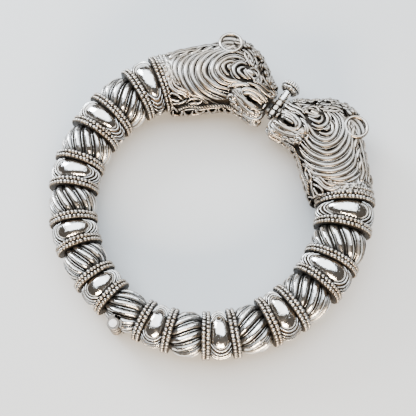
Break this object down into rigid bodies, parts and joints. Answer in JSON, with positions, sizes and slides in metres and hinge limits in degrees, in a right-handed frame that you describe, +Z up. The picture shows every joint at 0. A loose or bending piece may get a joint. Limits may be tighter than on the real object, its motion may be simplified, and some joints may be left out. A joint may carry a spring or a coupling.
{
  "type": "hinged kada bangle with two animal heads",
  "caption": "Hinged silver kada of fluted and plain beads between beaded collars, ending in two facing animal heads closed by a knobbed screw pin.",
  "frame": {"origin": "middle of the ring, on the surface that the bangle lies on", "axes": "+Z up, across the band; +Y through the gap between the heads, with the hinge at -Y; +X to the right half"},
  "size_m": [0.0902, 0.0892, 0.0168],
  "materials": {
    "oxidised_silver": "cast silver, blackened in the grooves and polished on the ridges",
    "bright_silver": "mirror-polished silver with light wear"
  },
  "bodies": {
    "left_half": {"hinge_bead_left": "oxidised_silver", "swirl_bead_left_1": "oxidised_silver", "swirl_bead_left_2": "oxidised_silver", "swirl_bead_left_3": "oxidised_silver", "swirl_bead_left_4": "oxidised_silver", "plain_bead_left_1": "bright_silver", "plain_bead_left_2": "bright_silver", "plain_bead_left_3": "bright_silver", "plain_bead_left_4": "bright_silver", "plain_bead_left_5": "bright_silver", "collar_left_1": "oxidised_silver", "collar_left_2": "oxidised_silver", "collar_left_3": "oxidised_silver", "collar_left_4": "oxidised_silver", "collar_left_5": "oxidised_silver", "collar_left_6": "oxidised_silver", "collar_left_7": "oxidised_silver", "collar_left_8": "oxidised_silver", "collar_left_9": "oxidised_silver", "neck_collar_left": "oxidised_silver", "head_left": "oxidised_silver", "clasp_eyes_left": "bright_silver", "hinge_leaf_left": "oxidised_silver", "hinge_rivet": "bright_silver"},
    "right_half": {"hinge_bead_right": "oxidised_silver", "swirl_bead_right_1": "oxidised_silver", "swirl_bead_right_2": "oxidised_silver", "swirl_bead_right_3": "oxidised_silver", "swirl_bead_right_4": "oxidised_silver", "plain_bead_right_1": "bright_silver", "plain_bead_right_2": "bright_silver", "plain_bead_right_3": "bright_silver", "plain_bead_right_4": "bright_silver", "plain_bead_right_5": "bright_silver", "collar_right_1": "oxidised_silver", "collar_right_2": "oxidised_silver", "collar_right_3": "oxidised_silver", "collar_right_4": "oxidised_silver", "collar_right_5": "oxidised_silver", "collar_right_6": "oxidised_silver", "collar_right_7": "oxidised_silver", "collar_right_8": "oxidised_silver", "collar_right_9": "oxidised_silver", "neck_collar_right": "oxidised_silver", "head_right": "oxidised_silver", "clasp_eye_right": "bright_silver", "hinge_leaf_right": "oxidised_silver"},
    "clasp_pin": {"clasp_pin": "bright_silver"}
  },
  "joints": [
    {"name": "back_hinge", "type": "hinge", "parent": "left_half", "child": "right_half", "pos_m": [0, -0.0428, 0.0058], "axis": [0, 0, -1], "range_deg": [0, 45]},
    {"name": "pin_draw", "type": "slide", "parent": "left_half", "child": "clasp_pin", "axis": [0, 1, 0], "range_m": [0, 0.012]}
  ]
}
